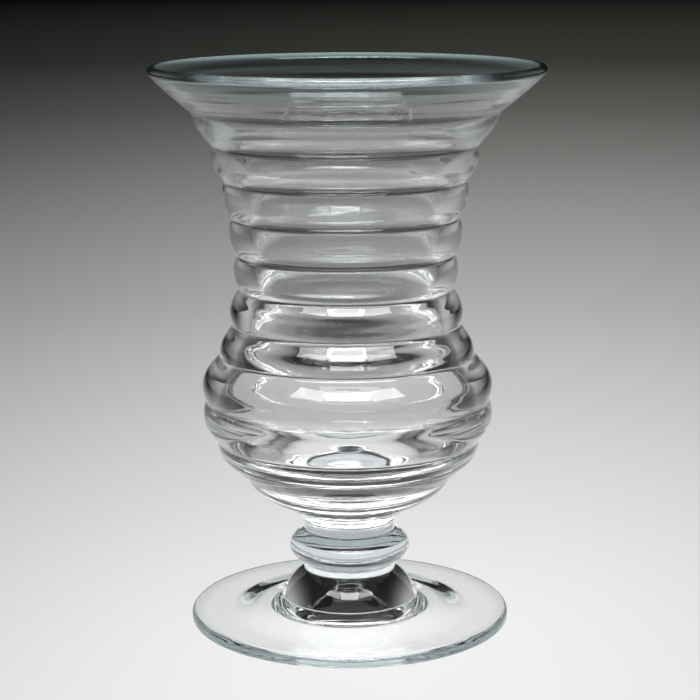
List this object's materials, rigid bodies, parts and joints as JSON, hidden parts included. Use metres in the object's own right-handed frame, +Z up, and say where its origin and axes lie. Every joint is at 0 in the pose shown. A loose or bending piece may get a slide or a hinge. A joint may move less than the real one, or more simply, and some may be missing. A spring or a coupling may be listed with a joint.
{
  "type": "footed glass vase",
  "caption": "Clear blown-glass vase with a stepped, ribbed bowl, a flared mouth, a knopped stem with a domed collar, and a wide disc foot.",
  "frame": {"origin": "middle of the flat ring under the foot, on the surface that the vase stands on", "axes": "+Z up along the vase's axis, towards the mouth; +X and +Y are alike, because every piece is round"},
  "size_m": [0.176, 0.176, 0.254],
  "materials": {
    "clear_glass": "fire-polished, clear, faintly cool in thick sections"
  },
  "bodies": {
    "root": {"foot": "clear_glass", "collar": "clear_glass", "stem": "clear_glass", "knop": "clear_glass", "neck": "clear_glass", "bowl": "clear_glass"}
  },
  "joints": []
}
